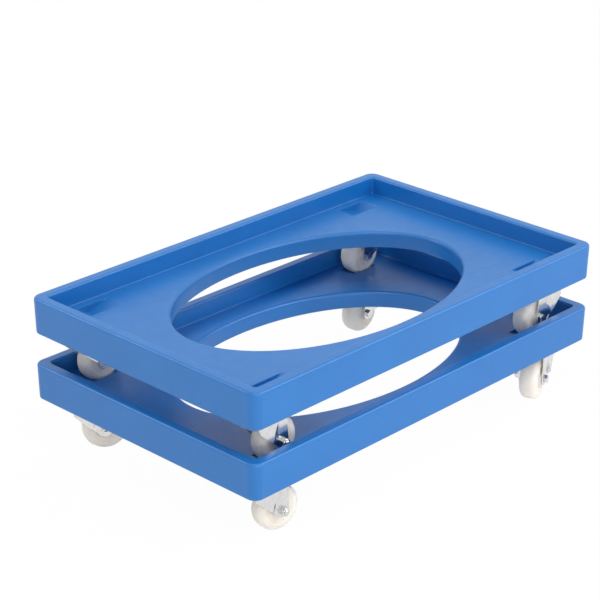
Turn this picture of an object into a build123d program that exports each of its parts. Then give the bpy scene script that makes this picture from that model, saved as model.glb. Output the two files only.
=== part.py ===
from build123d import *
import math
import os

# A pair of stacking dollies for 762 x 457 mm catering trays, the upper one parked on the lower one.
# Millimetres. X runs along the long side, Y along the short side, Z is up, and the floor is at zero.

# Moulded tray
tray_length = 810.0
tray_width = 505.0
tray_corner = 18.0
skirt_height = 62.0
skirt_draft = 1.6
rim_width = 20.0
rim_depth = 32.0
recess_draft = 1.0
recess_corner = 5.0
rim_round_outside = 5.0
rim_round_inside = 4.0
deck_round = 2.5
foot_round = 3.0
opening_end_margin = 117.0
opening_side_margin = 67.0
opening_round_top = 6.0
opening_round_foot = 3.0

# Wheel pockets in the deck
pocket_inner_ramp = 42.0
pocket_outer_ramp = 24.0
pocket_depth = 13.5
pocket_side_clearance = 2.0
pocket_bottom_round = 5.0
pocket_inset_x = 88.0
pocket_inset_y = 54.5

# Wheel, axle and fork of a castor
trail = 24.0
wheel_diameter = 75.0
wheel_width = 32.0
wheel_shoulder = 11.0
wheel_rim_band = 12.0
face_recess = 0.8
hub_diameter = 27.0
hub_stand = 2.5
bush_diameter = 12.0
axle_diameter = 8.0
fork_thickness = 3.0
fork_side_gap = 3.0
fork_top_gap = 4.5
fork_end_radius = 11.0
fork_back_reach = 7.0
fork_front_drop = 16.0
fork_bend = 5.0
crown_flange = 8.0
crown_boss_diameter = 42.0
crown_boss_height = 4.5

# Swivel head of a castor
plate_length = 95.0
plate_width = 70.0
plate_thickness = 3.0
plate_corner = 8.0
plate_boss_height = 4.3
plate_boss_taper = 3.0
kingpin_diameter = 10.0
kingpin_head_diameter = 18.0
kingpin_head_height = 2.8
rivet_head_diameter = 15.0
rivet_head_height = 1.6
ring_height = 3.5
ring_bore_clearance = 1.0

# Fasteners
hex_across_flats = 13.0
hex_head_height = 5.3
lock_nut_height = 8.0
lock_nut_collar = 2.4
axle_tip = 1.8
screw_spacing_x = 75.0
screw_spacing_y = 50.0
screw_diameter = 8.0
screw_reach = 9.0
screw_hole_clearance = 0.5
insert_across_flats = 12.0
insert_length = 10.0

# Clearances
running_clearance = 0.05
fixed_clearance = 0.1
swivel_gap = 0.2
seat_gap = 0.3
plate_seat_margin = 2.0

# Heights of one dolly, from the surface under its wheels
axle_height = wheel_diameter / 2
crown_underside = wheel_diameter + fork_top_gap
crown_top = crown_underside + fork_thickness
boss_top = crown_top + crown_boss_height
ring_foot = boss_top + swivel_gap
ring_top = ring_foot + ring_height
plate_underside = ring_top + plate_boss_height
castor_height = plate_underside + plate_thickness
head_top = crown_top - swivel_gap
head_foot = head_top - kingpin_head_height
skirt_foot = plate_underside
rim_top = skirt_foot + skirt_height
deck_top = rim_top - rim_depth

# Widths across a castor
wheel_side = wheel_width / 2
leg_inner = wheel_side + fork_side_gap
leg_outer = leg_inner + fork_thickness
axle_radius = axle_diameter / 2
crown_diameter = crown_boss_diameter + 2 * crown_flange

# A parked wheel lies on the pocket's long inner ramp and its short outer one, with a hair of room under it
inner_angle = math.atan2(pocket_depth, pocket_inner_ramp)
outer_angle = math.atan2(pocket_depth, pocket_outer_ramp)
axle_reach = (axle_height + seat_gap) / math.sin(inner_angle + outer_angle)
parked_shift = axle_reach * (math.cos(inner_angle) - math.cos(outer_angle))
parked_rise = axle_reach * (math.sin(inner_angle) + math.sin(outer_angle))
wheel_sink = pocket_depth + axle_height - parked_rise
stack_pitch = deck_top - wheel_sink

# Corners of a dolly, and the direction in which each wheel trails from its swivel axis
pocket_x = tray_length / 2 - pocket_inset_x
pocket_y = tray_width / 2 - pocket_inset_y
swivel_x = pocket_x - parked_shift + trail
swivel_y = pocket_y
corners = {
    "front_left": (-1, -1),
    "front_right": (1, -1),
    "back_right": (1, 1),
    "back_left": (-1, 1),
}
rolling_angles = {"front_left": -8.0, "front_right": 202.0, "back_right": 185.0, "back_left": -38.0}
parked_angles = {"front_left": 0.0, "front_right": 180.0, "back_right": 180.0, "back_left": 0.0}


def slab(length, width, corner, z):
    """A rounded rectangle lying at height z."""
    return Pos(0, 0, z) * RectangleRounded(length, width, corner)


def disc(radius, foot, top):
    """A plain cylinder about the Z axis between two heights."""
    return extrude(Pos(0, 0, foot) * Circle(radius), top - foot)


def ring(outer_radius, inner_radius, foot, top):
    """A plain tube about the Z axis between two heights."""
    return disc(outer_radius, foot, top) - disc(inner_radius, foot, top)


def cross_disc(radius, start, end):
    """A plain cylinder about the Y axis between two distances along it."""
    return extrude(Plane.XZ.offset(-start) * Circle(radius), start - end)


def hexagon(across_flats):
    """A flat hexagon of the given width across its flats."""
    return RegularPolygon(across_flats / 2, 6, major_radius=False)


def cross_hex(start, end):
    """A hexagonal prism about the Y axis between two distances along it."""
    return extrude(Plane.XZ.offset(-start) * hexagon(hex_across_flats), start - end)


def screw_places():
    """The four screw axes of one castor plate, about its swivel axis."""
    return GridLocations(screw_spacing_x, screw_spacing_y, 2, 2)


def pocket_cutter(outward):
    """The V-shaped hollow that cradles one wheel, about its lowest line at deck level.

    Args:
        outward: sign of X on the side of the tray's end.

    Returns:
        The solid to cut away.
    """
    inner = -outward * pocket_inner_ramp
    outer = outward * pocket_outer_ramp
    clear_of_deck = rim_depth / 2
    outline = Polygon(
        (inner, clear_of_deck), (outer, clear_of_deck), (outer, 0), (0, -pocket_depth), (inner, 0), align=None
    )
    lowest = outline.vertices().sort_by(Axis.Y)[0]
    outline = fillet(lowest, pocket_bottom_round)
    pocket_width = wheel_width + 2 * pocket_side_clearance
    return extrude(Plane.XZ * outline, pocket_width / 2, both=True)


def tray():
    """The hollow-moulded tray: skirt, rim, deck, oval opening, wheel pockets and castor seats."""
    draft = 2 * skirt_draft
    foot = slab(tray_length - draft, tray_width - draft, tray_corner - skirt_draft, skirt_foot)
    top = slab(tray_length, tray_width, tray_corner, rim_top)
    body = loft([foot, top], ruled=True)

    inner_length = tray_length - 2 * rim_width
    inner_width = tray_width - 2 * rim_width
    taper = 2 * recess_draft
    recess_foot = slab(inner_length - taper, inner_width - taper, recess_corner - recess_draft, deck_top)
    recess_top = slab(inner_length, inner_width, recess_corner, rim_top)
    body -= loft([recess_foot, recess_top], ruled=True)

    opening = Ellipse(tray_length / 2 - opening_end_margin, tray_width / 2 - opening_side_margin)
    body -= extrude(Pos(0, 0, skirt_foot) * opening, deck_top - skirt_foot)

    half_rim = rim_width / 2
    at_rim = body.edges().filter_by_position(Axis.Z, rim_top, rim_top)
    beyond_x = tray_length / 2 - half_rim
    beyond_y = tray_width / 2 - half_rim
    outside = at_rim.filter_by(lambda e: abs(e.center().X) > beyond_x or abs(e.center().Y) > beyond_y)
    body = fillet(outside, rim_round_outside)
    at_rim = body.edges().filter_by_position(Axis.Z, rim_top, rim_top)
    inside = at_rim.filter_by(lambda e: abs(e.center().X) < beyond_x and abs(e.center().Y) < beyond_y)
    body = fillet(inside, rim_round_inside)

    at_deck = body.edges().filter_by_position(Axis.Z, deck_top, deck_top)
    body = fillet(at_deck.filter_by(GeomType.ELLIPSE), opening_round_top)
    at_deck = body.edges().filter_by_position(Axis.Z, deck_top, deck_top)
    deck_edge = at_deck.filter_by(lambda e: e.geom_type in (GeomType.LINE, GeomType.CIRCLE))
    body = fillet(deck_edge, deck_round)

    at_foot = body.edges().filter_by_position(Axis.Z, skirt_foot, skirt_foot)
    body = fillet(at_foot.filter_by(GeomType.ELLIPSE), opening_round_foot)
    at_foot = body.edges().filter_by_position(Axis.Z, skirt_foot, skirt_foot)
    skirt_edge = at_foot.filter_by(lambda e: e.geom_type in (GeomType.LINE, GeomType.CIRCLE))
    body = fillet(skirt_edge, foot_round)

    seat = RectangleRounded(
        plate_length + 2 * plate_seat_margin, plate_width + 2 * plate_seat_margin, plate_corner + plate_seat_margin
    )
    seat_cutter = extrude(Pos(0, 0, skirt_foot) * seat, plate_thickness)
    insert_hole = extrude(Pos(0, 0, castor_height) * hexagon(insert_across_flats), insert_length)
    for sign_x, sign_y in corners.values():
        axis_place = Pos(sign_x * swivel_x, sign_y * swivel_y, 0)
        body -= axis_place * seat_cutter
        body -= [axis_place * place * insert_hole for place in screw_places()]
        body -= Pos(sign_x * pocket_x, sign_y * pocket_y, deck_top) * pocket_cutter(sign_x)
    return body


def castor_plate():
    """The top plate, with its fixing holes, its pressed-down boss and its kingpin hole."""
    plate = extrude(slab(plate_length, plate_width, plate_corner, plate_underside), plate_thickness)
    hole = disc(screw_diameter / 2 + screw_hole_clearance, plate_underside, castor_height)
    plate -= [place * hole for place in screw_places()]
    boss_foot = Pos(0, 0, ring_top) * Circle(crown_boss_diameter / 2)
    boss_root = Pos(0, 0, plate_underside) * Circle(crown_boss_diameter / 2 + plate_boss_taper)
    plate += loft([boss_foot, boss_root], ruled=True)
    plate -= disc(kingpin_diameter / 2, ring_top, castor_height)
    return plate - disc(rivet_head_diameter / 2, castor_height - rivet_head_height, castor_height)


def kingpin():
    """The rivet that holds the fork to the plate and is its swivel axis."""
    pin = disc(kingpin_head_diameter / 2, head_foot, head_top)
    pin += disc(kingpin_diameter / 2, head_top, castor_height)
    return pin + disc(rivet_head_diameter / 2, castor_height - rivet_head_height, castor_height)


def thrust_ring():
    """The nylon ring between fork and plate that the fork turns under."""
    return ring(crown_boss_diameter / 2, kingpin_diameter / 2 + ring_bore_clearance, ring_foot, ring_top)


def plate_screw():
    """A hexagon-headed screw that holds the plate to the tray from below."""
    head = extrude(Pos(0, 0, plate_underside - hex_head_height) * hexagon(hex_across_flats), hex_head_height)
    shank_radius = screw_diameter / 2 - fixed_clearance
    return head + disc(shank_radius, plate_underside, castor_height + screw_reach)


def threaded_insert():
    """The hexagonal brass insert moulded into the tray for one plate screw."""
    body = extrude(Pos(0, 0, castor_height) * hexagon(insert_across_flats), insert_length)
    return body - disc(screw_diameter / 2, castor_height, castor_height + insert_length)


def fork():
    """The pressed fork: a channel bent over the wheel, cut to tapering legs, under a round crown and boss."""
    back = -trail - fork_back_reach
    front = crown_diameter / 2 - fork_thickness
    axle_end = Pos(-trail, axle_height) * Circle(fork_end_radius).edge()
    head = Polyline((back, crown_top), (front, crown_top), (front, crown_top - fork_front_drop))
    leg_shape = make_hull([axle_end, *head.edges()])
    legs = extrude(Plane.XZ * leg_shape, leg_outer, both=True)

    outside = Rectangle(2 * leg_outer, crown_top, align=(Align.CENTER, Align.MIN))
    outside = fillet(outside.vertices().group_by(Axis.Y)[-1], fork_bend)
    inside = Rectangle(2 * leg_inner, crown_underside, align=(Align.CENTER, Align.MIN))
    inside = fillet(inside.vertices().group_by(Axis.Y)[-1], fork_bend - fork_thickness)
    channel = extrude(Plane.YZ.offset(back) * (outside - inside), front - back)

    body = channel & legs
    body += disc(crown_diameter / 2, crown_underside, crown_top)
    body += disc(crown_boss_diameter / 2, crown_top, boss_top)
    body -= disc(kingpin_head_diameter / 2 + ring_bore_clearance, crown_underside, crown_top)
    body -= disc(kingpin_diameter / 2 + running_clearance, crown_top, boss_top)
    return body - Pos(-trail, 0, axle_height) * cross_disc(axle_radius + fixed_clearance, -leg_outer, leg_outer)


def wheel():
    """The nylon wheel about its own axle, which lies along Y."""
    bore = bush_diameter / 2 + running_clearance
    rim = wheel_diameter / 2
    hub = hub_diameter / 2
    band = rim - wheel_rim_band
    face = wheel_side - face_recess
    hub_side = wheel_side + hub_stand
    half = [
        (bore, hub_side), (hub, hub_side), (hub + hub_stand, face), (band - face_recess, face), (band, wheel_side),
        (rim, wheel_side),
    ]
    outline = Polygon(*half, *[(r, -y) for r, y in reversed(half)], align=None)
    treads = outline.vertices().group_by(Axis.X)[-1]
    outline = fillet(treads, wheel_shoulder)
    return revolve(outline, Axis.Y)


def axle_bush():
    """The steel sleeve on the axle bolt that the wheel runs on."""
    body = cross_disc(bush_diameter / 2, -leg_inner, leg_inner)
    return body - cross_disc(axle_radius + fixed_clearance, -leg_inner, leg_inner)


def axle_bolt():
    """The hexagon-headed bolt through fork, bush and nut."""
    body = cross_hex(-leg_outer - hex_head_height, -leg_outer)
    return body + cross_disc(axle_radius, -leg_outer, leg_outer + lock_nut_height + axle_tip)


def lock_nut():
    """The lock nut on the axle bolt, with its round collar."""
    hex_end = leg_outer + lock_nut_height - lock_nut_collar
    body = cross_hex(leg_outer, hex_end)
    body += cross_disc(hex_across_flats / 2 - fixed_clearance, hex_end, hex_end + lock_nut_collar)
    return body - cross_disc(axle_radius, leg_outer, leg_outer + lock_nut_height)


def dolly(name, base, angles):
    """All the pieces of one dolly that stands at the given height, by node name.

    Args:
        name: first word of its node names.
        base: height of the surface under its wheels.
        angles: for each corner, the direction in which the wheel trails, in degrees from +X.

    Returns:
        A dictionary of node name to shape.
    """
    lift = Pos(0, 0, base)
    plate_places = [Pos(x * swivel_x, y * swivel_y, base) for x, y in corners.values()]
    screw_axes = [place * screw for place in plate_places for screw in screw_places()]
    pieces = {
        f"{name}_tray": lift * tray(),
        f"{name}_threaded_inserts": Compound([axis * threaded_insert() for axis in screw_axes]),
        f"{name}_plate_screws": Compound([axis * plate_screw() for axis in screw_axes]),
        f"{name}_kingpins": Compound([place * kingpin() for place in plate_places]),
        f"{name}_thrust_rings": Compound([place * thrust_ring() for place in plate_places]),
    }
    for (corner, angle), place in zip(angles.items(), plate_places):
        turned = place * Rot(0, 0, angle - 180)
        at_axle = turned * Pos(-trail, 0, axle_height)
        pieces[f"{name}_{corner}_plate"] = place * castor_plate()
        pieces[f"{name}_{corner}_fork"] = turned * fork()
        pieces[f"{name}_{corner}_bush"] = at_axle * axle_bush()
        pieces[f"{name}_{corner}_bolt"] = at_axle * axle_bolt()
        pieces[f"{name}_{corner}_nut"] = at_axle * lock_nut()
        pieces[f"{name}_{corner}_wheel"] = at_axle * wheel()
    return pieces


nodes = dolly("lower", 0.0, rolling_angles) | dolly("upper", stack_pitch, parked_angles)
os.makedirs("parts", exist_ok=True)
for node, shape in nodes.items():
    export_step(shape, f"parts/{node}.step")

print(f"stack pitch {stack_pitch:.3f}, rim top {rim_top:.1f}, deck {deck_top:.1f}, sink {wheel_sink:.2f}")
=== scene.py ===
"""Looks of a stacked pair of moulded dollies on swivel castors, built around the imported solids."""

import logging
import math
from dataclasses import dataclass
from enum import Enum

import bmesh
import bpy
from mathutils import Matrix, Vector


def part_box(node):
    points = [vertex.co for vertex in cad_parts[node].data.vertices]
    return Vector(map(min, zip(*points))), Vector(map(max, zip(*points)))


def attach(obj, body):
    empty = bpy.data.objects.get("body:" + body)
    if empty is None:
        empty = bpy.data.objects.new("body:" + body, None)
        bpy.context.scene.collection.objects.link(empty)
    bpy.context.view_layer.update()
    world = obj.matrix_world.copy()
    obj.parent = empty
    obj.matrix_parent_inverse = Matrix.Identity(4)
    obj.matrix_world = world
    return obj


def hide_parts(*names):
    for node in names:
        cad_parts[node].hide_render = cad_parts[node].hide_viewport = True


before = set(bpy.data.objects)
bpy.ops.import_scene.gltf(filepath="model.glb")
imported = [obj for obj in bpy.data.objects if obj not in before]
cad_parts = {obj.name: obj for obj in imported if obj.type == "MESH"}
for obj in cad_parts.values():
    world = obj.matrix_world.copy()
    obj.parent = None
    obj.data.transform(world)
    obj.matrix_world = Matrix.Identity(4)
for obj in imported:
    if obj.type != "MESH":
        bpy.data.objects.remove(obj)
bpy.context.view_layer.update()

MM = 0.001
LOG = logging.getLogger("stacking_dolly")
TINY = 1e-6
WHITE = (1.0, 1.0, 1.0, 1.0)
MIDDLE_REACH = (0.3, 0.7)
# Distances of the swivel axes from the middle of a dolly, in millimetres.
SWIVEL_PLACE = (336.854, 198.0)

Colour = tuple[float, float, float]
Triple = tuple[float, float, float]
Pair = tuple[float, float]
Profile = list[tuple[float, float]]
Edges = list[bmesh.types.BMEdge]
Verts = list[bmesh.types.BMVert]
Socket = bpy.types.NodeSocket
Sockets = tuple[tuple[str, object], ...]


class Corner(Enum):
    """The four corners of a dolly, as the signs of their X and Y."""

    FRONT_LEFT = (-1, -1)
    FRONT_RIGHT = (1, -1)
    BACK_RIGHT = (1, 1)
    BACK_LEFT = (-1, 1)

    @property
    def word(self) -> str:
        """The corner's part of a node name."""
        return self.name.lower()


class Level(Enum):
    """The two dollies of the stack, with the directions in which their wheels trail, in degrees from +X."""

    LOWER = (-8.0, 202.0, 185.0, -38.0)
    UPPER = (0.0, 180.0, 180.0, 0.0)

    @property
    def word(self) -> str:
        """The dolly's part of a node name."""
        return self.name.lower()

    def trailing(self, corner: Corner) -> float:
        """The direction in which one wheel of this dolly trails, in degrees from +X."""
        return self.value[list(Corner).index(corner)]


class Carrier(Enum):
    """What a castor's piece moves with, as the last word of the body's name."""

    TRAY = "dolly"
    FORK = "castor"
    WHEEL = "roller"


@dataclass(frozen=True)
class Pattern:
    """A noise: its cells per metre, finer layers, height in millimetres and stretch along X, Y and Z."""

    scale: float
    detail: float
    height: float = 0.0
    stretch: Triple | None = None


Patterns = tuple[Pattern, ...]


class NodeBench:
    """A small helper that lays out the nodes of one material or of the sky."""

    def __init__(self, owner: bpy.types.ID, output: str = "ShaderNodeOutputMaterial") -> None:
        """Starts an empty node tree.

        Args:
            owner: the material or the sky.
            output: the kind of its output node.
        """
        owner.use_nodes = True
        self.tree = owner.node_tree
        self.tree.nodes.clear()
        self.output = self.new(output)

    def new(self, kind: str) -> bpy.types.Node:
        """Adds a node of one kind."""
        return self.tree.nodes.new(kind)

    def link(self, source: Socket, target: Socket) -> None:
        """Joins two sockets."""
        self.tree.links.new(source, target)

    def shader(self, sockets: Sockets) -> bpy.types.Node:
        """Adds the surface shader and joins it to the output.

        Args:
            sockets: names and values of the shader's own sockets.

        Returns:
            The shader node.
        """
        node = self.new("ShaderNodeBsdfPrincipled")
        for name, value in sockets:
            node.inputs[name].default_value = value
        self.link(node.outputs["BSDF"], self.output.inputs["Surface"])
        return node

    def noise(self, pattern: Pattern) -> Socket:
        """Adds a noise pattern.

        Args:
            pattern: the pattern.

        Returns:
            The socket of its value.
        """
        node = self.new("ShaderNodeTexNoise")
        node.inputs["Scale"].default_value = pattern.scale
        node.inputs["Detail"].default_value = pattern.detail
        source = self.new("ShaderNodeTexCoord").outputs["Object"]
        if pattern.stretch:
            mapping = self.new("ShaderNodeMapping")
            mapping.inputs["Scale"].default_value = pattern.stretch
            self.link(source, mapping.inputs["Vector"])
            source = mapping.outputs["Vector"]
        self.link(source, node.inputs["Vector"])
        return node.outputs["Fac"]

    def spread(self, pattern: Pattern, values: Pair, reach: Pair = MIDDLE_REACH) -> Socket:
        """Maps a noise pattern to a range of values.

        Args:
            pattern: the pattern.
            values: the values at the start and the end of its reach.
            reach: the pattern's own values there.

        Returns:
            The socket of the result.
        """
        node = self.new("ShaderNodeMapRange")
        for name, value in zip(("From Min", "From Max", "To Min", "To Max"), reach + values):
            node.inputs[name].default_value = value
        self.link(self.noise(pattern), node.inputs["Value"])
        return node.outputs["Result"]

    def blend(self, share: Socket, low: Colour, high: Colour) -> Socket:
        """Mixes two colours.

        Args:
            share: from 0 for the first colour to 1 for the second.
            low: the first colour.
            high: the second colour.

        Returns:
            The socket of the mixed colour.
        """
        node = self.new("ShaderNodeMix")
        node.data_type = "RGBA"
        sockets = [socket for socket in node.inputs if socket.type == "RGBA"]
        for socket, colour in zip(sockets, (low, high)):
            socket.default_value = (*colour, 1.0)
        self.link(share, node.inputs["Factor"])
        return next(socket for socket in node.outputs if socket.type == "RGBA")

    def bump(self, layers: Patterns) -> Socket:
        """Lays height patterns over each other.

        Args:
            layers: the patterns.

        Returns:
            The socket of the surface's direction.
        """
        last = None
        for pattern in layers:
            node = self.new("ShaderNodeBump")
            node.inputs["Strength"].default_value = 1.0
            node.inputs["Distance"].default_value = pattern.height * MM
            self.link(self.noise(pattern), node.inputs["Height"])
            if last:
                self.link(last, node.inputs["Normal"])
            last = node.outputs["Normal"]
        return last

    def seen(self) -> Socket:
        """Adds the test for rays that show the background.

        Returns:
            A socket that is 1 for camera, glossy and transmission rays.
        """
        path = self.new("ShaderNodeLightPath")
        last = path.outputs["Is Camera Ray"]
        for name in ("Is Glossy Ray", "Is Transmission Ray"):
            node = self.new("ShaderNodeMath")
            node.operation = "MAXIMUM"
            self.link(last, node.inputs[0])
            self.link(path.outputs[name], node.inputs[1])
            last = node.outputs[0]
        return last

    def show(self, lit: Socket, bright: Socket, share: Socket) -> None:
        """Joins a mix of two shaders to the output.

        Args:
            lit: the shader that lights the dollies.
            bright: the shader that shows.
            share: the share of the second one.
        """
        mix = self.new("ShaderNodeMixShader")
        for source, target in zip((share, lit, bright), mix.inputs):
            self.link(source, target)
        self.link(mix.outputs["Shader"], self.output.inputs["Surface"])


@dataclass(frozen=True)
class Finish:
    """A finish: clouds lead its colour from low to high, marks its roughness, and relief its surface."""

    slot: str
    low: Colour
    high: Colour
    clouds: Pattern
    roughness: Pair
    marks: Pattern
    relief: Patterns
    sockets: Sockets
    reach: Pair = MIDDLE_REACH

    def material(self) -> bpy.types.Material:
        """Makes the material.

        Returns:
            The finished material.
        """
        material = bpy.data.materials.new(self.slot)
        bench = NodeBench(material)
        shader = bench.shader(self.sockets)
        share = bench.spread(self.clouds, (0.0, 1.0), self.reach)
        bench.link(bench.blend(share, self.low, self.high), shader.inputs["Base Color"])
        bench.link(bench.spread(self.marks, self.roughness), shader.inputs["Roughness"])
        bench.link(bench.bump(self.relief), shader.inputs["Normal"])
        return material


@dataclass(frozen=True)
class MouldedPolyethylene(Finish):
    """Satin blue polyethylene with the faint waviness and orange peel of a hollow moulding."""

    slot: str = "tray_plastic"
    low: Colour = (0.003, 0.143, 0.452)
    high: Colour = (0.005, 0.157, 0.492)
    clouds: Pattern = Pattern(9.0, 4.0)
    roughness: Pair = (0.31, 0.41)
    marks: Pattern = Pattern(60.0, 6.0)
    relief: Patterns = (Pattern(14.0, 1.0, 0.2), Pattern(420.0, 2.0, 0.05))
    sockets: Sockets = (("IOR", 1.5), ("Specular IOR Level", 0.6))


@dataclass(frozen=True)
class NaturalNylon(Finish):
    """Ivory nylon of the wheels, a little dulled in random patches, with light that shines in below its skin.
    """

    slot: str = "wheel_nylon"
    low: Colour = (0.925, 0.825, 0.72)
    high: Colour = (0.875, 0.765, 0.655)
    clouds: Pattern = Pattern(70.0, 5.0)
    reach: Pair = (0.45, 0.8)
    roughness: Pair = (0.38, 0.52)
    marks: Pattern = Pattern(160.0, 4.0)
    relief: Patterns = (Pattern(900.0, 2.0, 0.02),)
    sockets: Sockets = (
        ("IOR", 1.5),
        ("Subsurface Weight", 1.0),
        ("Subsurface Radius", (1.0, 0.92, 0.85)),
        ("Subsurface Scale", 0.035),
    )


@dataclass(frozen=True)
class BrightZinc(Finish):
    """Bright zinc plating on pressed steel, with the faint drawing marks of the press."""

    slot: str = "zinc_steel"
    low: Colour = (0.76, 0.75, 0.745)
    high: Colour = (0.66, 0.66, 0.665)
    clouds: Pattern = Pattern(120.0, 4.0)
    roughness: Pair = (0.11, 0.2)
    marks: Pattern = Pattern(700.0, 3.0, 0.006, (1.0, 1.0, 0.12))
    relief: Patterns = (marks,)
    sockets: Sockets = (("Metallic", 1.0),)


@dataclass(frozen=True)
class TurnedBrass(Finish):
    """Turned brass of the threaded inserts."""

    slot: str = "insert_brass"
    low: Colour = (0.80, 0.60, 0.27)
    high: Colour = (0.68, 0.48, 0.20)
    clouds: Pattern = Pattern(900.0, 2.0, 0.02, (0.15, 0.15, 1.0))
    roughness: Pair = (0.22, 0.4)
    marks: Pattern = clouds
    relief: Patterns = (clouds,)
    sockets: Sockets = (("Metallic", 1.0),)


@dataclass(frozen=True)
class BlackNylon(Finish):
    """Black nylon of the thrust rings."""

    slot: str = "ring_nylon"
    low: Colour = (0.016, 0.016, 0.017)
    high: Colour = (0.040, 0.039, 0.038)
    clouds: Pattern = Pattern(200.0, 4.0)
    reach: Pair = (0.4, 0.8)
    roughness: Pair = (0.42, 0.6)
    marks: Pattern = clouds
    relief: Patterns = (Pattern(1200.0, 2.0, 0.02),)
    sockets: Sockets = (("IOR", 1.5),)


class Finishes:
    """All the finishes of the dollies, each made once, by material slot."""

    def __init__(self) -> None:
        """Makes every finish."""
        makers = (MouldedPolyethylene(), NaturalNylon(), BrightZinc(), TurnedBrass(), BlackNylon())
        self.by_slot = {maker.slot: maker.material() for maker in makers}

    def dress(self, piece: bpy.types.Object, slot: str) -> None:
        """Gives a piece the finish of a material slot."""
        piece.data.materials.clear()
        piece.data.materials.append(self.by_slot[slot])


@dataclass(frozen=True)
class Outline:
    """A flat rectangle with round corners. Sizes in millimetres."""

    length: float
    width: float
    corner: float
    height: float
    x: float = 0.0
    y: float = 0.0

    def matching(self, point: Vector, old: "Outline") -> Vector:
        """The point of this outline that matches a point of another one.

        Args:
            point: a point on a round corner of the other outline, in metres.
            old: the other outline.

        Returns:
            The matching point, in metres.
        """
        along, across = point.x / MM - old.x, point.y / MM - old.y
        sign_x, sign_y = math.copysign(1.0, along), math.copysign(1.0, across)
        reach_x = (along - sign_x * (old.length / 2 - old.corner)) / old.corner
        reach_y = (across - sign_y * (old.width / 2 - old.corner)) / old.corner
        x = self.x + sign_x * (self.length / 2 - self.corner) + reach_x * self.corner
        y = self.y + sign_y * (self.width / 2 - self.corner) + reach_y * self.corner
        return Vector((x, y, self.height)) * MM


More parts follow.
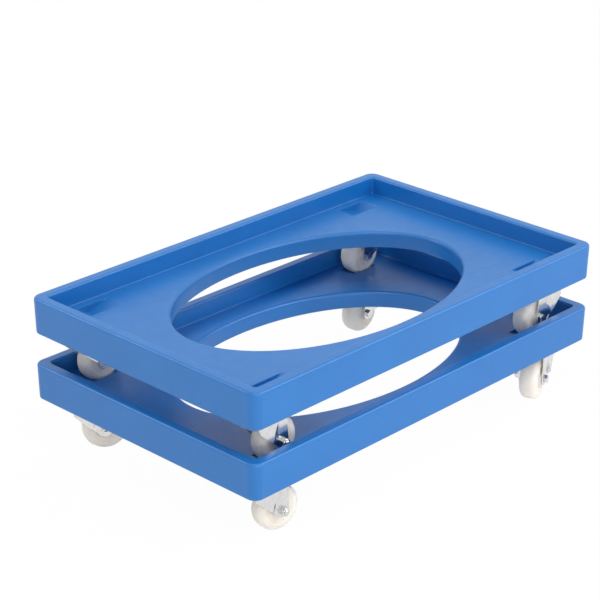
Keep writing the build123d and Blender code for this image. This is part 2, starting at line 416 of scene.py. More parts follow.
class MeshBench:
    """A bmesh with the few shaping steps that the dollies' pieces share. Sizes are in millimetres."""

    def __init__(self) -> None:
        """Starts an empty mesh."""
        self.mesh = bmesh.new()

    def between(self, verts: Verts) -> Edges:
        """The edges that run between some vertices, in the mesh's own order."""
        ends = set(verts)
        return [edge for edge in self.mesh.edges if ends.issuperset(edge.verts)]

    def rectangle(self, outline: Outline, segments: int = 10) -> Edges:
        """Adds the outline of a flat rectangle with round corners.

        Args:
            outline: its size and place.
            segments: steps round each corner.

        Returns:
            The edges of the outline.
        """
        older = set(self.mesh.faces)
        verts = bmesh.ops.create_grid(self.mesh, x_segments=1, y_segments=1, size=0.5)["verts"]
        bmesh.ops.scale(self.mesh, vec=(outline.length * MM, outline.width * MM, 1.0), verts=verts)
        bmesh.ops.translate(self.mesh, vec=(outline.x * MM, outline.y * MM, outline.height * MM), verts=verts)
        bmesh.ops.bevel(
            self.mesh, geom=verts, offset=outline.corner * MM, offset_type="OFFSET", affect="VERTICES",
            segments=segments, profile=0.5, material=-1,
        )
        made = [face for face in self.mesh.faces if face not in older]
        corners = [vert for face in made for vert in face.verts]
        edges = [edge for edge in self.between(corners) if edge.is_boundary]
        bmesh.ops.delete(self.mesh, geom=made, context="FACES_ONLY")
        return edges

    def oval(self, half_length: float, half_width: float, height: float, segments: int = 144) -> Edges:
        """Adds the outline of a flat oval about the Z axis.

        Args:
            half_length: its reach along X.
            half_width: its reach along Y.
            height: its height.
            segments: steps round it.

        Returns:
            The edges of the outline.
        """
        verts = bmesh.ops.create_circle(self.mesh, cap_ends=False, segments=segments, radius=MM)["verts"]
        bmesh.ops.scale(self.mesh, vec=(half_length, half_width, 1.0), verts=verts)
        bmesh.ops.translate(self.mesh, vec=(0.0, 0.0, height * MM), verts=verts)
        return self.between(verts)

    def extrude(self, edges: Edges) -> tuple[Edges, Verts]:
        """Draws a band of faces out of an outline.

        Args:
            edges: the outline.

        Returns:
            The edges and the vertices of the band's new end, still in the old place.
        """
        made = bmesh.ops.extrude_edge_only(self.mesh, edges=edges)["geom"]
        verts = [item for item in made if isinstance(item, bmesh.types.BMVert)]
        return self.between(verts), verts

    def draw_to(self, edges: Edges, old: Outline, new: Outline) -> Edges:
        """Draws a rectangle's outline out to another one.

        Args:
            edges: the edges of the old outline.
            old: the old outline.
            new: the new outline.

        Returns:
            The edges of the new outline.
        """
        lines, verts = self.extrude(edges)
        for vert in verts:
            vert.co = new.matching(vert.co, old)
        return lines

    def draw_oval(self, edges: Edges, grow_x: float, grow_y: float, rise: float) -> Edges:
        """Draws an oval's outline out to another one.

        Args:
            edges: the edges of the old outline.
            grow_x: factor along X.
            grow_y: factor along Y.
            rise: how much higher the new outline is.

        Returns:
            The edges of the new outline.
        """
        lines, verts = self.extrude(edges)
        bmesh.ops.scale(self.mesh, vec=(grow_x, grow_y, 1.0), verts=verts)
        bmesh.ops.translate(self.mesh, vec=(0.0, 0.0, rise * MM), verts=verts)
        return lines

    def round_off(self, edges: Edges, radius: float, segments: int = 4) -> None:
        """Rounds edges as far as a radius reaches from them, with so many steps across."""
        bmesh.ops.bevel(
            self.mesh, geom=edges, offset=radius * MM, offset_type="OFFSET", affect="EDGES",
            segments=segments, profile=0.5, material=-1, clamp_overlap=True,
        )

    def fill(self, *outlines: Edges) -> None:
        """Fills the flat area between outlines."""
        edges = [edge for outline in outlines for edge in outline]
        bmesh.ops.triangle_fill(
            self.mesh, use_beauty=True, use_dissolve=False, edges=edges, normal=(0.0, 0.0, 1.0),
        )

    def lathe(
        self, profile: Profile, roundings: dict[int, float] | None = None, steps: int = 64,
        closed: bool = True,
    ) -> None:
        """Adds a turned shape about the Z axis.

        Args:
            profile: its outline as pairs of radius and height.
            roundings: for an index in the profile, the radius that its edge is rounded by.
            steps: steps round the axis.
            closed: whether the outline closes on itself.
        """
        verts = [self.mesh.verts.new((radius * MM, 0.0, height * MM)) for radius, height in profile]
        pairs = list(zip(verts, verts[1:]))
        if closed:
            pairs.append((verts[-1], verts[0]))
        edges = [self.mesh.edges.new(pair) for pair in pairs]
        older = set(self.mesh.verts) - set(verts)
        bmesh.ops.spin(
            self.mesh, geom=verts + edges, cent=(0.0, 0.0, 0.0), axis=(0.0, 0.0, 1.0), angle=math.tau,
            steps=steps, use_merge=True, use_duplicate=False,
        )
        made = [vert for vert in self.mesh.verts if vert not in older]
        bmesh.ops.remove_doubles(self.mesh, verts=made, dist=TINY)
        for index, radius in (roundings or {}).items():
            self.round_off(self.circle_edges(older, *profile[index]), radius)

    def circle_edges(self, older: set[bmesh.types.BMVert], radius: float, height: float) -> Edges:
        """The edges of one circle of a turned shape.

        Args:
            older: vertices that were there before the shape.
            radius: the circle's radius.
            height: the circle's height.

        Returns:
            The circle's edges.
        """
        verts = []
        for vert in self.mesh.verts:
            away = abs(vert.co.xy.length - radius * MM) + abs(vert.co.z - height * MM)
            if vert not in older and away < 10 * TINY:
                verts.append(vert)
        return self.between(verts)

    def hexagon(self, across_flats: float, foot: float, top: float, chamfer: float) -> None:
        """Adds a hexagonal prism about the Z axis with chamfered ends.

        Args:
            across_flats: its width across the flats.
            foot: its lower height.
            top: its upper height.
            chamfer: how far its end edges are cut back.
        """
        radius = across_flats * MM / math.sqrt(3.0)
        verts = bmesh.ops.create_cone(
            self.mesh, cap_ends=True, cap_tris=False, segments=6, radius1=radius, radius2=radius,
            depth=(top - foot) * MM, matrix=Matrix.Translation((0.0, 0.0, (foot + top) / 2 * MM)),
        )["verts"]
        level = [edge for edge in self.between(verts) if abs(edge.verts[0].co.z - edge.verts[1].co.z) < TINY]
        self.round_off(level, chamfer, segments=2)

    def add(self, other: "MeshBench", matrix: Matrix) -> None:
        """Adds a moved copy of another bench's mesh.

        Args:
            other: the other bench.
            matrix: where the copy goes.
        """
        copy = bpy.data.meshes.new("copy")
        other.mesh.to_mesh(copy)
        copy.transform(matrix)
        self.mesh.from_mesh(copy)
        bpy.data.meshes.remove(copy)

    def finish(self, name: str, sharp_degrees: float = 35.0) -> bpy.types.Object:
        """Turns the mesh into an object with clean normals and smooth shading.

        Args:
            name: the object's name.
            sharp_degrees: edges that turn by more than this stay sharp.

        Returns:
            The new object.
        """
        bmesh.ops.remove_doubles(self.mesh, verts=self.mesh.verts, dist=2 * TINY)
        bmesh.ops.recalc_face_normals(self.mesh, faces=self.mesh.faces)
        for face in self.mesh.faces:
            face.smooth = True
        for edge in self.mesh.edges:
            if len(edge.link_faces) == 2:
                edge.smooth = edge.calc_face_angle() < math.radians(sharp_degrees)
        data = bpy.data.meshes.new(name)
        self.mesh.to_mesh(data)
        self.mesh.free()
        piece = bpy.data.objects.new(name, data)
        bpy.context.scene.collection.objects.link(piece)
        normals = piece.modifiers.new("even_shading", "WEIGHTED_NORMAL")
        normals.keep_sharp = True
        normals.weight = 80
        return piece


def settle(piece: bpy.types.Object, body: str, slot: str, finishes: Finishes, *nodes: str) -> None:
    """Dresses a piece, lets it ride on its body and stand for its nodes.

    Args:
        piece: the object.
        body: the body that it moves with.
        slot: its material slot.
        finishes: all the finishes.
        nodes: the nodes that it stands for.
    """
    finishes.dress(piece, slot)
    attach(piece, body)
    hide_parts(*nodes)
    LOG.info("%s rides on %s with %d faces", piece.name, body, len(piece.data.polygons))


@dataclass(frozen=True)
class Tray:
    """The moulded tray of one dolly. Sizes in millimetres, heights from the surface under the wheels."""

    length: float = 810.0
    width: float = 505.0
    corner: float = 18.0
    skirt_foot: float = 95.0
    rim_top: float = 157.0
    deck: float = 125.0
    skirt_draft: float = 1.6
    rim_width: float = 20.0
    recess_draft: float = 1.0
    recess_corner: float = 5.0
    rim_round_outside: float = 5.0
    rim_round_inside: float = 4.0
    deck_round: float = 1.5
    foot_round: float = 3.0
    oval_length: float = 288.0
    oval_width: float = 185.5
    oval_round_top: float = 6.0
    oval_round_foot: float = 3.0
    pocket_inner: float = 42.0
    pocket_outer: float = 24.0
    pocket_width: float = 36.0
    pocket_depth: float = 13.5
    pocket_edge: float = 0.8
    pocket_edge_share: float = 0.45
    pocket_fold: float = 0.002
    pocket_place: Pair = (317.0, 198.0)
    pocket_shares: Triple = (0.26, 0.51, 0.88)
    seat_size: Triple = (99.0, 74.0, 10.0)
    seat_depth: float = 3.0
    seat_margin: float = 5.0
    seat_round: float = 0.8
    margin: float = 5.0

    def shell(self, bench: MeshBench) -> tuple[Edges, Edges]:
        """Builds skirt, rim and recess wall.

        Args:
            bench: the mesh to build in.

        Returns:
            The outlines that the deck and the underside are filled up to.
        """
        draft, inner, taper = 2 * self.skirt_draft, 2 * self.rim_width, 2 * self.recess_draft
        under, edge = 2 * (self.margin + self.foot_round), 2 * (self.margin + self.deck_round)
        foot_length, foot_width = self.length - draft, self.width - draft
        foot_corner = self.corner - self.skirt_draft
        recess_length, recess_width = self.length - inner, self.width - inner
        deck_length, deck_width = recess_length - taper, recess_width - taper
        deck_corner = self.recess_corner - self.recess_draft
        steps = [
            Outline(foot_length - under, foot_width - under, foot_corner / 2, self.skirt_foot),
            Outline(foot_length, foot_width, foot_corner, self.skirt_foot),
            Outline(self.length, self.width, self.corner, self.rim_top),
            Outline(recess_length, recess_width, self.recess_corner, self.rim_top),
            Outline(deck_length, deck_width, deck_corner, self.deck),
            Outline(deck_length - edge, deck_width - edge, deck_corner / 2, self.deck),
        ]
        loops = [bench.rectangle(steps[0])]
        for old, new in zip(steps, steps[1:]):
            loops.append(bench.draw_to(loops[-1], old, new))
        underside, foot, rim_outside, rim_inside, deck_edge, deck_inside = loops
        bench.round_off(rim_outside, self.rim_round_outside, segments=6)
        bench.round_off(rim_inside, self.rim_round_inside, segments=6)
        bench.round_off(deck_edge, self.deck_round)
        bench.round_off(foot, self.foot_round)
        return deck_inside, underside

    def opening(self, bench: MeshBench) -> tuple[Edges, Edges]:
        """Builds the wall of the oval opening.

        Args:
            bench: the mesh to build in.

        Returns:
            The outlines that the deck and the underside are filled up to.
        """
        top_margin, foot_margin = self.margin + self.oval_round_top, self.margin + self.oval_round_foot
        long_top, wide_top = self.oval_length + top_margin, self.oval_width + top_margin
        on_deck = bench.oval(long_top, wide_top, self.deck)
        top = bench.draw_oval(on_deck, self.oval_length / long_top, self.oval_width / wide_top, 0.0)
        foot = bench.draw_oval(top, 1.0, 1.0, self.skirt_foot - self.deck)
        grow_x, grow_y = 1.0 + foot_margin / self.oval_length, 1.0 + foot_margin / self.oval_width
        under = bench.draw_oval(foot, grow_x, grow_y, 0.0)
        bench.round_off(top, self.oval_round_top, segments=6)
        bench.round_off(foot, self.oval_round_foot)
        return on_deck, under

    def pocket(self, bench: MeshBench, corner: Corner) -> Edges:
        """Builds one V-shaped wheel pocket in the deck.

        Args:
            bench: the mesh to build in.
            corner: the corner that it is at.

        Returns:
            The outline that the deck is filled up to.
        """
        verts = bmesh.ops.create_grid(bench.mesh, x_segments=40, y_segments=16, size=1.0)["verts"]
        sign_x, sign_y = corner.value
        middle = Vector((sign_x * self.pocket_place[0], sign_y * self.pocket_place[1], self.deck))
        span = self.pocket_inner + self.pocket_outer + 2 * self.margin
        for vert in verts:
            outward = (vert.co.x + 1.0) / 2 * span - self.pocket_inner - self.margin
            inner, outer = 1.0 + outward / self.pocket_inner, 1.0 - outward / self.pocket_outer
            ramp = (inner + outer - math.sqrt((inner - outer) ** 2 + self.pocket_fold)) / 2
            aside, drop = self.pocket_point(abs(vert.co.y), self.pocket_depth * max(0.0, ramp))
            vert.co = (middle + Vector((sign_x * outward, math.copysign(aside, vert.co.y), -drop))) * MM
        return [edge for edge in bench.between(verts) if edge.is_boundary]

    def pocket_point(self, share: float, depth: float) -> Pair:
        """A point on the cross-section of a pocket.

        Args:
            share: 0 at the pocket's middle line and 1 at the outline on the deck.
            depth: the pocket's depth there.

        Returns:
            The distance from the middle line and the drop below the deck.
        """
        half, edge = self.pocket_width / 2, self.pocket_edge
        edge_drop = min(edge, depth * self.pocket_edge_share)
        floor_end, wall_end, edge_end = self.pocket_shares
        if share <= floor_end:
            return share / floor_end * (half - edge), depth
        if share <= wall_end:
            angle = (share - floor_end) / (wall_end - floor_end) * math.pi / 2
            return half - edge + edge * math.sin(angle), depth - edge_drop + edge_drop * math.cos(angle)
        if share <= edge_end:
            angle = (share - wall_end) / (edge_end - wall_end) * math.pi / 2
            return half + edge - edge * math.cos(angle), edge_drop - edge_drop * math.sin(angle)
        return half + edge + (share - edge_end) / (1.0 - edge_end) * (self.margin - edge), 0.0

    def castor_seat(self, bench: MeshBench, corner: Corner) -> Edges:
        """Builds the shallow seat of one castor plate in the underside.

        Args:
            bench: the mesh to build in.
            corner: the corner that it is at.

        Returns:
            The outline that the underside is filled up to.
        """
        (length, width, radius), foot = self.seat_size, self.skirt_foot
        x, y = corner.value[0] * SWIVEL_PLACE[0], corner.value[1] * SWIVEL_PLACE[1]
        steps = [
            Outline(length + self.seat_margin, width + self.seat_margin, radius, foot, x, y),
            Outline(length, width, radius, foot, x, y),
            Outline(length, width, radius, foot + self.seat_depth, x, y),
        ]
        outline = bench.rectangle(steps[0])
        mouth = bench.draw_to(outline, steps[0], steps[1])
        roof = bench.draw_to(mouth, steps[1], steps[2])
        bench.round_off(mouth, self.seat_round, segments=3)
        bench.fill(roof)
        return outline

    def build(self, level: Level, base: float, finishes: Finishes) -> None:
        """Builds and dresses the tray of one dolly.

        Args:
            level: which dolly.
            base: height of the surface under its wheels.
            finishes: all the finishes.
        """
        bench = MeshBench()
        deck_edge, foot_edge = self.shell(bench)
        oval_deck, oval_foot = self.opening(bench)
        bench.fill(deck_edge, oval_deck, *[self.pocket(bench, corner) for corner in Corner])
        bench.fill(foot_edge, oval_foot, *[self.castor_seat(bench, corner) for corner in Corner])
        bmesh.ops.translate(bench.mesh, vec=(0.0, 0.0, base * MM), verts=bench.mesh.verts)
        piece = bench.finish(f"{level.word}_moulded_tray")
        settle(piece, f"{level.word}_dolly", "tray_plastic", finishes, f"{level.word}_tray")


@dataclass(frozen=True)
class Wheel:
    """One nylon wheel about the Z axis. Sizes in millimetres."""

    radius: float = 37.5
    width: float = 32.0
    shoulder: float = 11.0
    bore_radius: float = 6.05
    hub_radius: float = 13.5
    hub_stand: float = 2.5
    hub_round: float = 0.6
    recess_radius: float = 24.7
    recess_depth: float = 0.8
    recess_round: float = 0.5

    def build(self) -> MeshBench:
        """Builds the wheel.

        Returns:
            The bench that holds it.
        """
        side, hub, ring = self.width / 2, self.hub_radius, self.recess_radius
        stand, recess = side + self.hub_stand, side - self.recess_depth
        half = [
            (self.bore_radius, stand), (hub, stand), (hub + self.hub_stand, recess),
            (ring, recess), (ring + self.recess_depth, side), (self.radius, side),
        ]
        profile = half + [(radius, -height) for radius, height in reversed(half)]
        groove = self.recess_round
        soft = {1: self.hub_round, 2: groove, 3: groove, 4: groove, 5: self.shoulder}
        mirrored = {len(profile) - 1 - index: radius for index, radius in soft.items()}
        bench = MeshBench()
        bench.lathe(profile, soft | mirrored, steps=96)
        return bench


@dataclass(frozen=True)
class Fork:
    """One pressed fork about its swivel axis, with its wheel at minus X. Sizes in millimetres."""

    trail: float = 24.0
    axle_height: float = 37.5
    leg_outer: float = 22.0
    leg_sheet: float = 2.7
    leg_end: float = 11.0
    leg_back: float = 7.0
    leg_bend: float = 5.0
    bend_share: float = 0.8
    flat_share: float = 0.9
    row_crowding: float = 1.35
    front_drop: float = 16.0
    front_inset: float = 3.0
    crease_x: float = -7.0
    crease_height: float = 46.0
    crease_lean: float = 0.25
    crease_width: float = 3.5
    crease_fade: float = 9.0
    lip_stand: float = 1.0
    lip_growth: float = 0.1
    lip_top: float = 70.0
    crown_foot: float = 79.5
    crown_top: float = 82.5
    crown_inset: float = 0.15
    crown_hole: float = 14.0
    crown_radius: float = 29.0
    crown_round: float = 2.4
    boss_radius: float = 21.0
    boss_top: float = 87.0
    boss_foot_round: float = 0.8
    boss_round: float = 1.6
    pin_bore: float = 5.05
    pin_well: float = 10.0

    def leg_edges(self, height: float) -> Pair:
        """Where the edges of a leg are at one height.

        Args:
            height: the height.

        Returns:
            The X of the trailing edge and of the leading edge.
        """
        axle = self.axle_height
        below = max(0.0, axle - height)
        half = math.sqrt(max(0.0, self.leg_end ** 2 - below ** 2))
        rise = max(0.0, (height - axle) / (self.crown_top - axle))
        back = -self.trail - half + (self.leg_end - self.leg_back) * rise
        reach = self.crown_radius - self.front_inset + self.trail
        corner = Vector((reach, self.crown_top - self.front_drop - axle))
        angle = math.atan2(corner.y, corner.x) - math.acos(self.leg_end / corner.length)
        leaving = Vector((math.cos(angle), math.sin(angle))) * self.leg_end
        climb = (height - axle - leaving.y) / (corner.y - leaving.y)
        if climb <= 0.0:
            return back, -self.trail + half
        return back, -self.trail + leaving.x + (corner.x - leaving.x) * min(1.0, climb)

    def leg_point(self, across: float, up: float) -> Vector:
        """A point on the outside of the half of the fork on the side of plus Y.

        Args:
            across: 0 at the trailing edge and 1 at the leading edge.
            up: 0 at the foot of the leg, bend_share where the bend begins, flat_share where it ends and
                1 over the wheel's middle.

        Returns:
            The point.
        """
        foot, top = self.axle_height - self.leg_end, self.crown_top - self.crown_inset
        bend, bend_foot, flat = self.leg_bend, top - self.leg_bend, self.leg_outer - self.leg_bend
        if up <= self.bend_share:
            out = self.leg_outer
            height = foot + (bend_foot - foot) * (up / self.bend_share) ** self.row_crowding
        elif up <= self.flat_share:
            angle = (up - self.bend_share) / (self.flat_share - self.bend_share) * math.pi / 2
            out, height = flat + bend * math.cos(angle), bend_foot + bend * math.sin(angle)
        else:
            out, height = flat * (1.0 - up) / (1.0 - self.flat_share), top
        back, front = self.leg_edges(height)
        x = back + (front - back) * across
        crease = self.crease_x - self.crease_lean * (height - self.crease_height)
        step = min(1.0, max(0.0, (x - crease) / self.crease_width))
        fade = min(1.0, max(0.0, (bend_foot - height) / self.crease_fade))
        lip = self.lip_stand + self.lip_growth * max(0.0, self.lip_top - height)
        return Vector((x, out + lip * step * step * (3.0 - 2.0 * step) * fade, height))

    def build(self) -> MeshBench:
        """Builds the fork: a sheet bent over the wheel, creased along its legs, under a round crown and boss.

        Returns:
            The bench that holds it.
        """
        bench = MeshBench()
        verts = bmesh.ops.create_grid(bench.mesh, x_segments=28, y_segments=40, size=0.5)["verts"]
        for vert in verts:
            vert.co = self.leg_point(vert.co.x + 0.5, vert.co.y + 0.5) * MM
        bmesh.ops.remove_doubles(bench.mesh, verts=bench.mesh.verts, dist=TINY)
        half = [*bench.mesh.verts, *bench.mesh.edges, *bench.mesh.faces]
        bmesh.ops.mirror(bench.mesh, geom=half, matrix=Matrix.Identity(4), merge_dist=TINY, axis="Y")
        hole = self.crown_hole * MM
        middle = [face for face in bench.mesh.faces if face.calc_center_median().xy.length < hole]
        bmesh.ops.delete(bench.mesh, geom=middle, context="FACES")
        bmesh.ops.recalc_face_normals(bench.mesh, faces=bench.mesh.faces)
        if sum(face.normal.y * face.calc_center_median().y for face in bench.mesh.faces) < 0.0:
            bmesh.ops.reverse_faces(bench.mesh, faces=bench.mesh.faces)
        bmesh.ops.solidify(bench.mesh, geom=list(bench.mesh.faces), thickness=self.leg_sheet * MM)
        edge, boss, bore, well = self.crown_radius, self.boss_radius, self.pin_bore, self.pin_well
        foot, top, high = self.crown_foot, self.crown_top, self.boss_top
        crown = [
            (well, foot), (edge, foot), (edge, top), (boss, top),
            (boss, high), (bore, high), (bore, top), (well, top),
        ]
        bench.lathe(crown, {2: self.crown_round, 3: self.boss_foot_round, 4: self.boss_round}, steps=72)
        return bench


@dataclass(frozen=True)
class Axle:
    """An axle bolt and its lock nut along the Z axis, either side of a fork. Sizes in millimetres."""

    reach: float = 22.0
    radius: float = 4.0
    hex_width: float = 13.0
    hex_chamfer: float = 0.5
    head_height: float = 5.3
    nut_height: float = 8.0
    collar_height: float = 2.4
    collar_inset: float = 0.2
    collar_overlap: float = 0.5
    collar_round: float = 0.9
    bore_clearance: float = 0.1
    tip: float = 1.8
    tip_chamfer: float = 0.9
    thread_turns: int = 5
    thread_start: float = 4.0
    thread_pitch: float = 1.1
    thread_depth: float = 0.5

    def bolt(self) -> MeshBench:
        """Builds the bolt with its chamfered head and threaded tip.

        Returns:
            The bench that holds it.
        """
        bench = MeshBench()
        bench.hexagon(self.hex_width, -self.reach - self.head_height, -self.reach, self.hex_chamfer)
        end, root = self.reach + self.nut_height + self.tip, self.radius - self.thread_depth
        profile = [(0.0, -self.reach), (self.radius, -self.reach)]
        for turn in range(self.thread_turns):
            height = self.reach + self.thread_start + turn * self.thread_pitch
            profile += [(self.radius, height), (root, height + self.thread_pitch / 2)]
        profile += [(self.radius, end - self.tip_chamfer), (self.radius - self.tip_chamfer, end), (0.0, end)]
        bench.lathe(profile, steps=40, closed=False)
        return bench

    def nut(self) -> MeshBench:
        """Builds the lock nut with its round collar.

        Returns:
            The bench that holds it.
        """
        bench = MeshBench()
        hex_end = self.reach + self.nut_height - self.collar_height
        bench.hexagon(self.hex_width, self.reach, hex_end, self.hex_chamfer)
        bore, collar = self.radius + self.bore_clearance, self.hex_width / 2 - self.collar_inset
        low, high = hex_end - self.collar_overlap, hex_end + self.collar_height
        profile = [(bore, low), (collar, low), (collar, high), (bore, high)]
        bench.lathe(profile, {2: self.collar_round}, steps=40)
        return bench


@dataclass(frozen=True)
class Swivel:
    """What holds a castor to its tray: plate, kingpin, thrust ring and screws. Sizes in millimetres."""

    plate_size: Triple = (95.0, 70.0, 8.0)
    plate_foot: float = 95.0
    plate_top: float = 98.0
    plate_round: float = 0.6
    boss_bore: float = 5.0
    boss_radius: float = 21.0
    boss_taper: float = 3.0
    boss_sink: float = 0.2
    boss_round: float = 1.2
    ring_foot: float = 87.2
    ring_top: float = 90.7
    ring_bore: float = 6.0
    ring_round: float = 0.6
    pin_radius: float = 5.0
    pin_head_radius: float = 9.0
    pin_head_foot: float = 79.5
    pin_head_top: float = 82.3
    pin_head_round: float = 1.6
    pin_edge_round: float = 0.4
    rivet_radius: float = 7.5
    rivet_height: float = 1.6
    screw_spacing: Pair = (75.0, 50.0)
    screw_radius: float = 3.9
    screw_depth: float = 9.0
    hex_width: float = 13.0
    hex_height: float = 5.3
    hex_chamfer: float = 0.5

    def plate(self) -> MeshBench:
        """Builds the top plate with its pressed-down boss.

        Returns:
            The bench that holds it.
        """
        bench = MeshBench()
        low, high = Outline(*self.plate_size, self.plate_foot), Outline(*self.plate_size, self.plate_top)
        foot = bench.rectangle(low)
        top = bench.draw_to(foot, low, high)
        bench.fill(foot)
        bench.fill(top)
        bench.round_off(foot, self.plate_round, segments=2)
        bore, edge = self.boss_bore, self.boss_radius
        tip, root = self.ring_top, self.plate_foot + self.boss_sink
        boss = [(bore, tip), (edge, tip), (edge + self.boss_taper, root), (bore, root)]
        bench.lathe(boss, {1: self.boss_round})
        return bench

    def kingpin(self) -> MeshBench:
        """Builds the rivet that is the swivel axis.

        Returns:
            The bench that holds it.
        """
        head, pin, rivet = self.pin_head_radius, self.pin_radius, self.rivet_radius
        foot, neck, end = self.pin_head_foot, self.pin_head_top, self.plate_top
        fold = end - self.rivet_height
        profile = [
            (0.0, foot), (head, foot), (head, neck), (pin, neck),
            (pin, fold), (rivet, fold), (rivet, end), (0.0, end),
        ]
        bench = MeshBench()
        bench.lathe(profile, {1: self.pin_head_round, 2: self.pin_edge_round}, steps=40, closed=False)
        return bench

    def thrust_ring(self) -> MeshBench:
        """Builds the ring between fork and plate.

        Returns:
            The bench that holds it.
        """
        bore, edge, low, high = self.ring_bore, self.boss_radius, self.ring_foot, self.ring_top
        bench = MeshBench()
        profile = [(bore, low), (edge, low), (edge, high), (bore, high)]
        bench.lathe(profile, {1: self.ring_round, 2: self.ring_round})
        return bench

    def plate_screws(self) -> MeshBench:
        """Builds the four screws of one plate.

        Returns:
            The bench that holds them.
        """
        foot, end, radius = self.plate_foot, self.plate_top + self.screw_depth, self.screw_radius
        screw = MeshBench()
        screw.hexagon(self.hex_width, foot - self.hex_height, foot, self.hex_chamfer)
        screw.lathe([(0.0, foot), (radius, foot), (radius, end), (0.0, end)], steps=32, closed=False)
        bench = MeshBench()
        for corner in Corner:
            place = [sign * spacing / 2 * MM for sign, spacing in zip(corner.value, self.screw_spacing)]
            bench.add(screw, Matrix.Translation((*place, 0.0)))
        return bench


@dataclass(frozen=True)
class Castors:
    """The four swivel castors of one dolly, each made of wheel, fork, axle and swivel."""

    wheel: Wheel = Wheel()
    fork: Fork = Fork()
    axle: Axle = Axle()
    swivel: Swivel = Swivel()

    def place(self, corner: Corner, base: float) -> Matrix:
        """Where a castor's swivel axis meets the surface under the wheels."""
        x, y = (sign * reach * MM for sign, reach in zip(corner.value, SWIVEL_PLACE))
        return Matrix.Translation((x, y, base * MM))

    def build(self, level: Level, base: float, finishes: Finishes) -> None:
        """Builds and dresses the four castors of one dolly.

        Args:
            level: which dolly.
            base: height of the surface under its wheels.
            finishes: all the finishes.
        """
        lift = Matrix.Translation((-self.fork.trail * MM, 0.0, self.fork.axle_height * MM))
        lying, upright = lift @ Matrix.Rotation(-math.pi / 2, 4, "X"), Matrix.Identity(4)
        parts = (
            ("wheel", self.wheel.build(), lying, Carrier.WHEEL, "wheel_nylon"),
            ("fork", self.fork.build(), upright, Carrier.FORK, "zinc_steel"),
            ("bolt", self.axle.bolt(), lying, Carrier.FORK, "zinc_steel"),
            ("nut", self.axle.nut(), lying, Carrier.FORK, "zinc_steel"),
            ("plate", self.swivel.plate(), upright, Carrier.TRAY, "zinc_steel"),
        )
        for corner in Corner:
            key = f"{level.word}_{corner.word}"
            fixed = self.place(corner, base)
            swivelled = fixed @ Matrix.Rotation(math.radians(level.trailing(corner) - 180.0), 4, "Z")
            for name, model, pose, carrier, slot in parts:
                owner, stand = (level.word, fixed) if carrier is Carrier.TRAY else (key, swivelled)
                bench = MeshBench()
                bench.add(model, stand @ pose)
                piece = bench.finish(f"{key}_fine_{name}")
                settle(piece, f"{owner}_{carrier.value}", slot, finishes, f"{key}_{name}")
        groups = (
            ("kingpins", self.swivel.kingpin(), "zinc_steel"),
            ("thrust_rings", self.swivel.thrust_ring(), "ring_nylon"),
            ("plate_screws", self.swivel.plate_screws(), "zinc_steel"),
        )
        for name, model, slot in groups:
            group = MeshBench()
            for corner in Corner:
                group.add(model, self.place(corner, base))
            piece = group.finish(f"{level.word}_fine_{name}")
            settle(piece, f"{level.word}_dolly", slot, finishes, f"{level.word}_{name}")


@dataclass(frozen=True)
class Lamp:
    """One soft lamp: its name, its place and size in metres and its power in watts."""

    name: str
    place: Triple
    size: Pair
    power: float


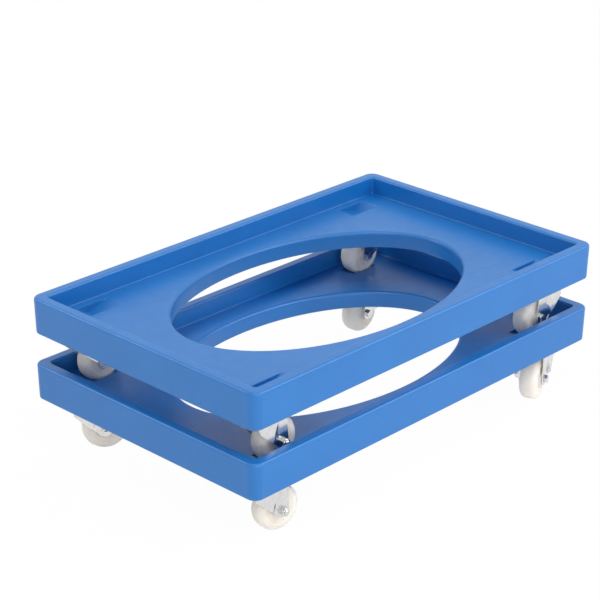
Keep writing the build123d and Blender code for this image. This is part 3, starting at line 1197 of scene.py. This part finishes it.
@dataclass(frozen=True)
class Studio:
    """The pale floor, the sky, the soft lamps and the camera. Places in metres."""

    camera_place: Triple = (-2.1774, -2.0365, 1.5229)
    camera_forward: Triple = (0.66174, 0.63317, -0.40148)
    camera_roll: float = 0.2834
    camera_reach: float = 50.0
    lens: float = 118.61
    sensor: float = 36.0
    horizon_strength: float = 0.40
    zenith_strength: float = 1.0
    floor_size: float = 14.0
    floor_glow: float = 0.975
    floor_colour: Colour = (0.92, 0.915, 0.905)
    aim: Triple = (0.0, 0.0, 0.15)
    lamps: tuple[Lamp, ...] = (
        Lamp("key", (1.4, -2.6, 2.8), (1.2, 1.2), 30.0),
        Lamp("right", (2.6, -2.0, 2.2), (1.0, 1.0), 20.0),
        Lamp("left", (-2.0, 2.5, 2.2), (1.0, 1.0), 20.0),
        Lamp("overhead", (-0.9, -1.0, 3.0), (0.6, 0.6), 14.0),
        Lamp("low_front", (-1.1, -3.0, 0.4), (2.4, 0.6), 28.0),
    )

    def camera(self) -> None:
        """Adds the camera at the photograph's viewing angle."""
        forward = Vector(self.camera_forward).normalized()
        right = forward.cross(Vector((0.0, 0.0, 1.0))).normalized()
        up = right.cross(forward)
        cosine, sine = math.cos(math.radians(self.camera_roll)), math.sin(math.radians(self.camera_roll))
        right, up = right * cosine + up * sine, up * cosine - right * sine
        data = bpy.data.cameras.new("camera")
        data.lens = self.lens
        data.sensor_width = self.sensor
        data.clip_end = self.camera_reach
        holder = bpy.data.objects.new("camera", data)
        bpy.context.scene.collection.objects.link(holder)
        turn = Matrix((right, up, -forward)).transposed().to_4x4()
        holder.matrix_world = Matrix.Translation(self.camera_place) @ turn
        bpy.context.scene.camera = holder

    def world(self) -> None:
        """Adds the sky, which brightens upward and shows as plain white."""
        world = bpy.data.worlds.new("surroundings")
        bpy.context.scene.world = world
        bench = NodeBench(world, "ShaderNodeOutputWorld")
        light, white = bench.new("ShaderNodeBackground"), bench.new("ShaderNodeBackground")
        light.inputs["Color"].default_value = WHITE
        white.inputs["Color"].default_value = WHITE
        white.inputs["Strength"].default_value = 1.0
        split, climb = bench.new("ShaderNodeSeparateXYZ"), bench.new("ShaderNodeMapRange")
        climb.inputs["To Min"].default_value = self.horizon_strength
        climb.inputs["To Max"].default_value = self.zenith_strength
        bench.link(bench.new("ShaderNodeTexCoord").outputs["Generated"], split.inputs["Vector"])
        bench.link(split.outputs["Z"], climb.inputs["Value"])
        bench.link(climb.outputs["Result"], light.inputs["Strength"])
        bench.show(light.outputs["Background"], white.outputs["Background"], bench.seen())

    def floor(self) -> None:
        """Adds the pale floor, which keeps a soft shadow."""
        mesh = bmesh.new()
        bmesh.ops.create_grid(mesh, x_segments=1, y_segments=1, size=self.floor_size / 2)
        data = bpy.data.meshes.new("floor")
        mesh.to_mesh(data)
        mesh.free()
        piece = bpy.data.objects.new("floor", data)
        bpy.context.scene.collection.objects.link(piece)
        material = bpy.data.materials.new("pale_floor")
        bench = NodeBench(material)
        matt, glow = bench.new("ShaderNodeBsdfDiffuse"), bench.new("ShaderNodeEmission")
        matt.inputs["Color"].default_value = (*self.floor_colour, 1.0)
        glow.inputs["Color"].default_value = WHITE
        glow.inputs["Strength"].default_value = 1.0
        share = bench.new("ShaderNodeMath")
        share.operation = "MULTIPLY"
        share.inputs[1].default_value = self.floor_glow
        bench.link(bench.seen(), share.inputs[0])
        bench.show(matt.outputs["BSDF"], glow.outputs["Emission"], share.outputs[0])
        data.materials.append(material)

    def lights(self) -> None:
        """Adds the soft lamps, each turned to the middle of the stack."""
        for lamp in self.lamps:
            data = bpy.data.lights.new(lamp.name, "AREA")
            data.shape = "RECTANGLE"
            data.size, data.size_y = lamp.size
            data.energy = lamp.power
            holder = bpy.data.objects.new(lamp.name, data)
            bpy.context.scene.collection.objects.link(holder)
            turn = (Vector(self.aim) - Vector(lamp.place)).to_track_quat("-Z", "Y").to_matrix().to_4x4()
            holder.matrix_world = Matrix.Translation(lamp.place) @ turn

    def build(self) -> None:
        """Sets up the whole studio."""
        bpy.context.scene.view_settings.view_transform = "Standard"
        self.camera()
        self.world()
        self.floor()
        self.lights()


def stack_pitch() -> float:
    """The height of the upper dolly above the lower one, in millimetres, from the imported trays."""
    return (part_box("upper_tray")[0][2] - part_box("lower_tray")[0][2]) / MM


def main() -> None:
    """Builds both dollies and the studio."""
    logging.basicConfig(level=logging.INFO, format="%(name)s: %(message)s")
    finishes = Finishes()
    for level in Level:
        base = 0.0 if level is Level.LOWER else stack_pitch()
        Tray().build(level, base, finishes)
        Castors().build(level, base, finishes)
        solids = {f"{level.word}_threaded_inserts": "insert_brass"}
        solids |= {f"{level.word}_{corner.word}_bush": "zinc_steel" for corner in Corner}
        for node, slot in solids.items():
            finishes.dress(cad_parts[node], slot)
            LOG.info("%s keeps its solid", node)
    Studio().build()


if __name__ == "__main__":
    main()
